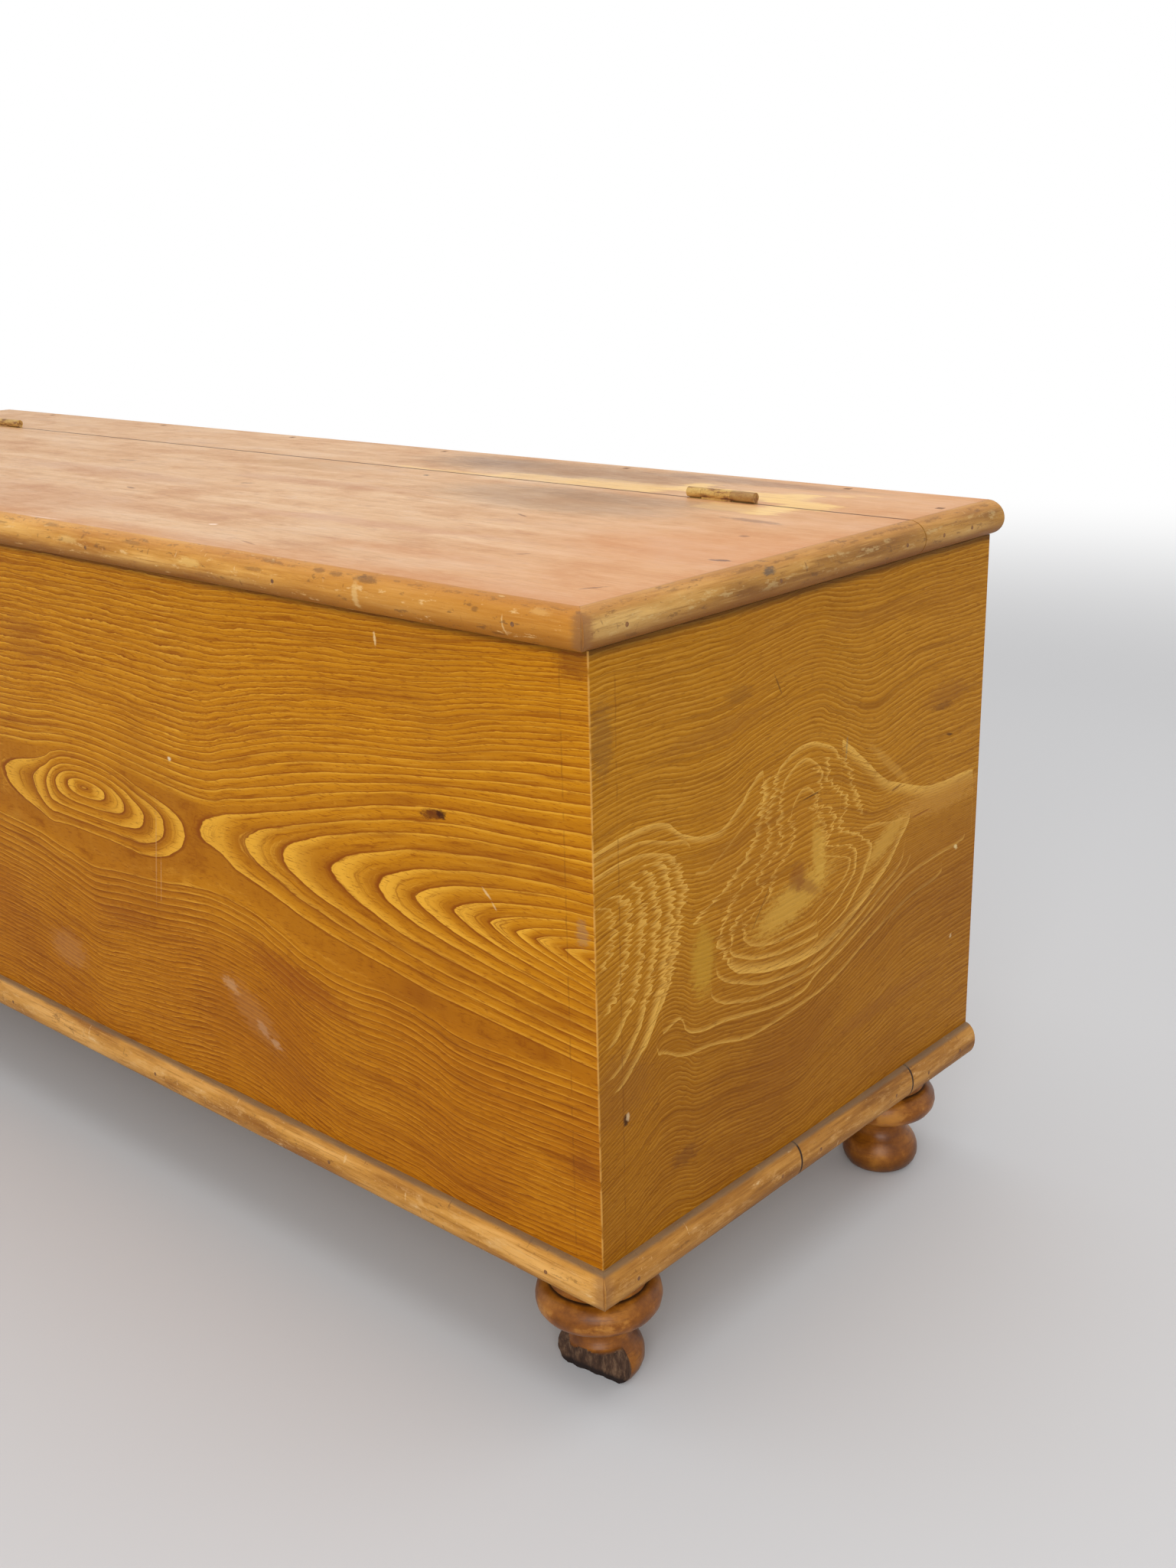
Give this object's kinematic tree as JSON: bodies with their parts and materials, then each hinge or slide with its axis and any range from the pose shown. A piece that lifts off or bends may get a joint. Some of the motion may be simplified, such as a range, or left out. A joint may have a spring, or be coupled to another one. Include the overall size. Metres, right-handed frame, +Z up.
{
  "type": "blanket chest",
  "caption": "Long dovetailed pine chest with a hinged lid, a fixed rear rail, half-round nosings and base moulding, and turned feet; wood-grained paint.",
  "frame": {"origin": "on the floor under the middle of the outline seen from above", "axes": "+X to the right along the length, +Y towards the back where the hinges are, +Z up"},
  "size_m": [1.406, 0.474, 0.5496],
  "materials": {
    "grained_pine": "grain-painted pine under aged varnish, combed and sponged pattern",
    "worn_top": "worn pine, finish mostly rubbed away, stained round one hinge",
    "moulding": "painted ochre half-round, worn and chipped on the crown",
    "turned_foot": "turned, painted orange-brown under gloss varnish",
    "bare_pine": "unfinished, darkened with age",
    "hinge_iron": "iron, painted over in ochre, rusting where the paint is gone",
    "nail_iron": "black iron, lightly rusted"
  },
  "bodies": {
    "chest": {"front_board": "grained_pine", "back_board": "bare_pine", "end_board_right": "grained_pine", "end_board_left": "grained_pine", "bottom_board_front": "bare_pine", "bottom_board_rear": "bare_pine", "base_moulding_front": "moulding", "base_moulding_left": "moulding", "base_moulding_right_front": "moulding", "base_moulding_right_middle": "moulding", "base_moulding_right_rear": "moulding", "foot_front_right": "turned_foot", "foot_front_left": "turned_foot", "foot_rear_right": "turned_foot", "foot_rear_left": "turned_foot", "foot_wedges": "bare_pine", "rear_rail": "worn_top", "rail_nosing_right": "moulding", "rail_nosing_left": "moulding", "hinge_leaf_rail_right": "hinge_iron", "hinge_leaf_rail_left": "hinge_iron", "hinge_pin_right": "hinge_iron", "hinge_pin_left": "hinge_iron", "hinge_screws_rail": "hinge_iron", "bottom_nails": "nail_iron", "rail_nails": "nail_iron", "moulding_brads": "nail_iron", "rail_nosing_brads": "nail_iron"},
    "lid": {"lid_board": "worn_top", "lid_nosing_front": "moulding", "lid_nosing_right": "moulding", "lid_nosing_left": "moulding", "hinge_leaf_lid_right": "hinge_iron", "hinge_leaf_lid_left": "hinge_iron", "hinge_screws_lid": "hinge_iron", "lid_nosing_brads": "nail_iron"}
  },
  "joints": [
    {"name": "lid_hinge", "type": "hinge", "parent": "chest", "child": "lid", "pos_m": [0, 0.125, 0.5457], "axis": [-1, 0, 0], "range_deg": [0, 180]}
  ]
}
